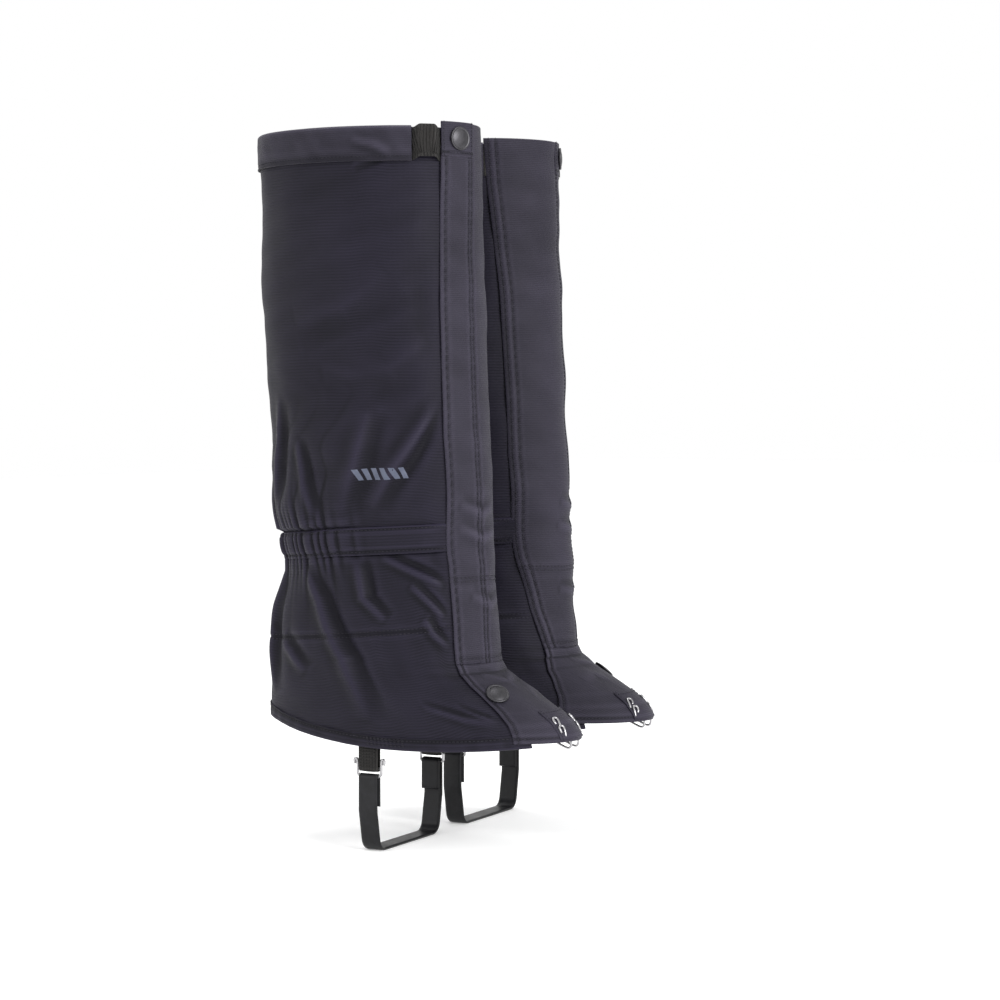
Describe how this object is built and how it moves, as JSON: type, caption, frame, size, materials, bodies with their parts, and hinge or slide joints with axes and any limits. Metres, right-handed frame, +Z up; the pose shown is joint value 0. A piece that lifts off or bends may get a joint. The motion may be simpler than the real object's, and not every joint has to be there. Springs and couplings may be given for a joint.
{
  "type": "hiking gaiters",
  "caption": "Knee-length front-opening gaiters with a peel-back storm flap, snaps, a gathered ankle, a lifting tongue with a lace hook, and an instep strap on a wire buckle.",
  "frame": {"origin": "on the surface that the boots stand on, under the middle of the pair, at the underside of the instep straps", "axes": "+X towards the toes, +Y to the wearer's left, +Z up"},
  "size_m": [0.262, 0.2526, 0.5265],
  "materials": {
    "shell_cloth": "fine cross-ribbed woven nylon with a faint water-repellent sheen, dark navy",
    "trim_cloth": "fine woven nylon, charcoal",
    "webbing": "coarse ribbed nylon tape, black",
    "loop_tape": "soft brushed loops, black",
    "hook_tape": "rows of small moulded hooks, black",
    "snap_metal": "gunmetal plating, smooth",
    "elastic": "knitted elastic",
    "wire": "bright plated steel wire",
    "strap": "smooth moulded band with a low sheen, black"
  },
  "bodies": {
    "right_gaiter": {"right_calf_panel": "shell_cloth", "right_collar_band": "trim_cloth", "right_calf_webbing": "webbing", "right_underlap": "shell_cloth", "right_loop_tape": "loop_tape", "right_top_snap_stud": "snap_metal", "right_top_snap_post": "snap_metal", "right_lower_snap_stud": "snap_metal", "right_lower_snap_post": "snap_metal", "right_ankle_casing": "shell_cloth", "right_ankle_elastic": "elastic", "right_skirt_panel": "shell_cloth", "right_bottom_hem": "shell_cloth", "right_outer_webbing_loop": "webbing", "right_inner_webbing_loop": "webbing"},
    "right_flap": {"right_storm_flap": "trim_cloth", "right_hook_tape": "hook_tape", "right_top_snap_cap": "snap_metal", "right_top_snap_socket": "snap_metal"},
    "right_tongue": {"right_tongue": "trim_cloth", "right_tongue_patch": "trim_cloth", "right_lower_snap_cap": "snap_metal", "right_lower_snap_socket": "snap_metal", "right_lace_hook": "wire"},
    "right_buckle": {"right_buckle_frame": "wire", "right_buckle_bar": "wire"},
    "right_strap": {"right_instep_strap": "strap"},
    "right_ring": {"right_strap_ring": "wire"},
    "left_gaiter": {"left_calf_panel": "shell_cloth", "left_collar_band": "trim_cloth", "left_calf_webbing": "webbing", "left_underlap": "shell_cloth", "left_loop_tape": "loop_tape", "left_top_snap_stud": "snap_metal", "left_top_snap_post": "snap_metal", "left_lower_snap_stud": "snap_metal", "left_lower_snap_post": "snap_metal", "left_ankle_casing": "shell_cloth", "left_ankle_elastic": "elastic", "left_skirt_panel": "shell_cloth", "left_bottom_hem": "shell_cloth", "left_outer_webbing_loop": "webbing", "left_inner_webbing_loop": "webbing"},
    "left_flap": {"left_storm_flap": "trim_cloth", "left_hook_tape": "hook_tape", "left_top_snap_cap": "snap_metal", "left_top_snap_socket": "snap_metal"},
    "left_tongue": {"left_tongue": "trim_cloth", "left_tongue_patch": "trim_cloth", "left_lower_snap_cap": "snap_metal", "left_lower_snap_socket": "snap_metal", "left_lace_hook": "wire"},
    "left_buckle": {"left_buckle_frame": "wire", "left_buckle_bar": "wire"},
    "left_strap": {"left_instep_strap": "strap"},
    "left_ring": {"left_strap_ring": "wire"}
  },
  "joints": [
    {"name": "gaiters_apart", "type": "slide", "parent": "right_gaiter", "child": "left_gaiter", "axis": [0, 1, 0], "range_m": [0, 0.15]},
    {"name": "right_flap_peel", "type": "hinge", "parent": "right_gaiter", "child": "right_flap", "pos_m": [0.0371, -0.032, 0.16], "axis": [-0.0944, 0.0419, 0.9947], "range_deg": [0, 50]},
    {"name": "right_tongue_lift", "type": "hinge", "parent": "right_flap", "child": "right_tongue", "pos_m": [0.057, -0.065, 0.131], "axis": [0, -1, 0], "range_deg": [0, 35]},
    {"name": "right_buckle_swing", "type": "hinge", "parent": "right_gaiter", "child": "right_buckle", "pos_m": [-0.016, -0.1124, 0.061], "axis": [1, 0, 0], "range_deg": [-25, 25]},
    {"name": "right_strap_level", "type": "hinge", "parent": "right_buckle", "child": "right_strap", "pos_m": [-0.016, -0.1124, 0.0542], "axis": [1, 0, 0], "range_deg": [-25, 25]},
    {"name": "right_ring_swing", "type": "hinge", "parent": "right_gaiter", "child": "right_ring", "pos_m": [-0.016, -0.0176, 0.061], "axis": [1, 0, 0], "range_deg": [-25, 25]},
    {"name": "left_flap_peel", "type": "hinge", "parent": "left_gaiter", "child": "left_flap", "pos_m": [0.0371, 0.032, 0.16], "axis": [0.0944, 0.0419, -0.9947], "range_deg": [0, 50]},
    {"name": "left_tongue_lift", "type": "hinge", "parent": "left_flap", "child": "left_tongue", "pos_m": [0.057, 0.065, 0.131], "axis": [0, -1, 0], "range_deg": [0, 35]},
    {"name": "left_buckle_swing", "type": "hinge", "parent": "left_gaiter", "child": "left_buckle", "pos_m": [-0.016, 0.1124, 0.061], "axis": [-1, 0, 0], "range_deg": [-25, 25]},
    {"name": "left_strap_level", "type": "hinge", "parent": "left_buckle", "child": "left_strap", "pos_m": [-0.016, 0.1124, 0.0542], "axis": [-1, 0, 0], "range_deg": [-25, 25]},
    {"name": "left_ring_swing", "type": "hinge", "parent": "left_gaiter", "child": "left_ring", "pos_m": [-0.016, 0.0176, 0.061], "axis": [-1, 0, 0], "range_deg": [-25, 25]}
  ],
  "couplings": [
    {"joint": "right_strap_level", "follows": "right_buckle_swing", "ratio": -1},
    {"joint": "right_ring_swing", "follows": "right_buckle_swing", "ratio": 1},
    {"joint": "left_strap_level", "follows": "left_buckle_swing", "ratio": -1},
    {"joint": "left_ring_swing", "follows": "left_buckle_swing", "ratio": 1}
  ]
}
